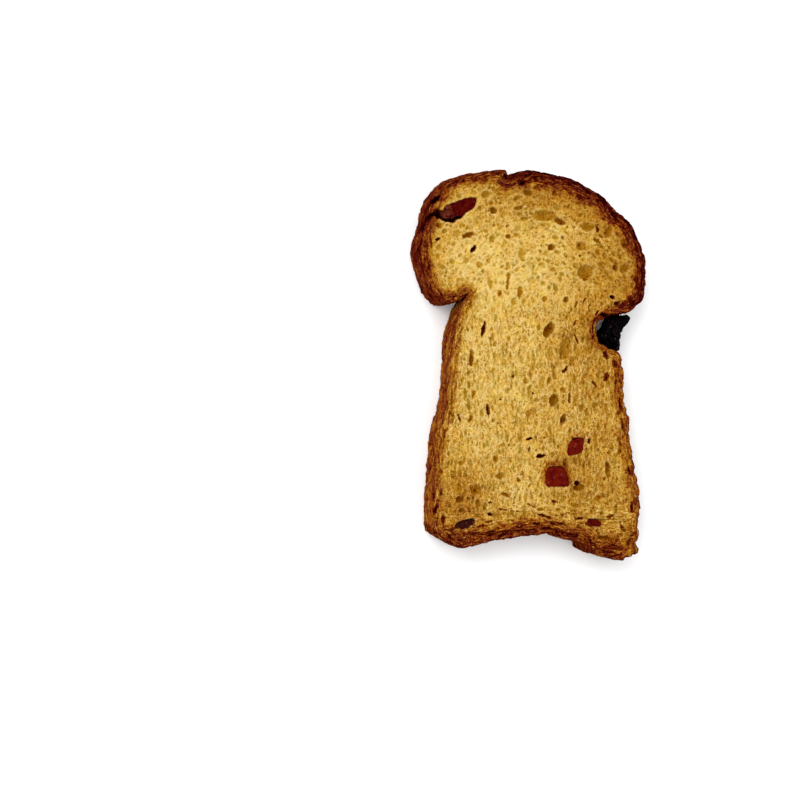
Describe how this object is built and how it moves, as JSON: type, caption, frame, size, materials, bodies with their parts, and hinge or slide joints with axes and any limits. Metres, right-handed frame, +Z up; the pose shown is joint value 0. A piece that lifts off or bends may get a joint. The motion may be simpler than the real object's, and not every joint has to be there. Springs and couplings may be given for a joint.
{
  "type": "fruit rusk",
  "caption": "Dry toasted slice of a fruit loaf, with a browned crust, an open crumb, raisins and candied fruit, lying flat on its cut face.",
  "frame": {"origin": "middle of the slice's footprint, on the surface that it lies on", "axes": "+Y along the slice towards the crown of the loaf, +X to the right of the front face, +Z up out of the front face"},
  "size_m": [0.0648, 0.1064, 0.0095],
  "materials": {
    "toasted_crumb": "dry open crumb, golden, browned to dark at the crust",
    "raisin_skin": "wrinkled and sticky, nearly black",
    "candied_fruit": "translucent dark red, with a soft shine"
  },
  "bodies": {
    "root": {"rusk_slice": "toasted_crumb", "neck_raisin": "raisin_skin", "crown_raisin": "raisin_skin", "heel_raisin": "raisin_skin", "candied_cube": "candied_fruit", "candied_chip": "candied_fruit", "candied_sliver": "candied_fruit"}
  },
  "joints": []
}
